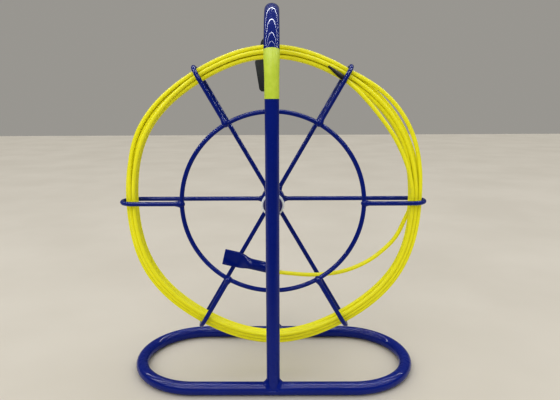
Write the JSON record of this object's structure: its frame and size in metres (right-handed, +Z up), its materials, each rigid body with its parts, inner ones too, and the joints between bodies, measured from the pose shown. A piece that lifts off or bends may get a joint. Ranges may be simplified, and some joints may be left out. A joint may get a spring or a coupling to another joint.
{
  "type": "fish tape reel",
  "caption": "Free-standing bent-tube frame with a carrying hoop, holding a wire cage wheel that turns on an axle and stores a coil of stiff fibreglass cable rod.",
  "frame": {"origin": "on the floor straight under the middle of the wheel", "axes": "+X to the right along the stand, +Y to the back, +Z up; the wheel turns about Y"},
  "size_m": [0.4444, 0.2122, 0.5269],
  "materials": {
    "blue_powder_coat": "gloss ultramarine powder coat",
    "wheel_blue": "gloss ultramarine powder coat over steel wire",
    "label_vinyl": "yellow-green printed vinyl",
    "zinc_steel": "zinc-plated steel",
    "dark_steel": "dark coated steel",
    "white_nylon": "natural white nylon",
    "yellow_rod": "yellow polypropylene skin over a glass fibre core",
    "brass": "turned brass",
    "black_rubber": "black rubber sleeve",
    "black_plastic": "black moulded nylon"
  },
  "bodies": {
    "stand": {"base_ring": "blue_powder_coat", "hoop": "blue_powder_coat", "foot_welds": "blue_powder_coat", "label": "label_vinyl", "axle_bolt": "zinc_steel", "axle_boss": "blue_powder_coat", "boss_weld": "blue_powder_coat", "rear_spacer": "zinc_steel", "front_washer": "dark_steel", "rear_washer": "dark_steel", "head_washer": "zinc_steel", "rod_guide": "black_plastic", "guide_screws": "zinc_steel"},
    "wheel": {"hub_barrel": "wheel_blue", "front_bush": "white_nylon", "rear_bush": "white_nylon", "front_ring": "wheel_blue", "spoke_right": "wheel_blue", "spoke_upper_right": "wheel_blue", "spoke_upper_left": "wheel_blue", "spoke_left": "wheel_blue", "spoke_lower_left": "wheel_blue", "spoke_lower_right": "wheel_blue", "hub_welds": "wheel_blue", "ring_welds": "wheel_blue", "tip_holder": "wheel_blue", "tip_holder_welds": "wheel_blue", "rod": "yellow_rod", "rod_tip_ferrule": "brass", "rod_tail_cap": "black_rubber"}
  },
  "joints": [
    {"name": "wheel_spin", "type": "hinge", "parent": "stand", "child": "wheel", "pos_m": [0, 0, 0.2535], "axis": [0, 1, 0], "continuous": true}
  ]
}
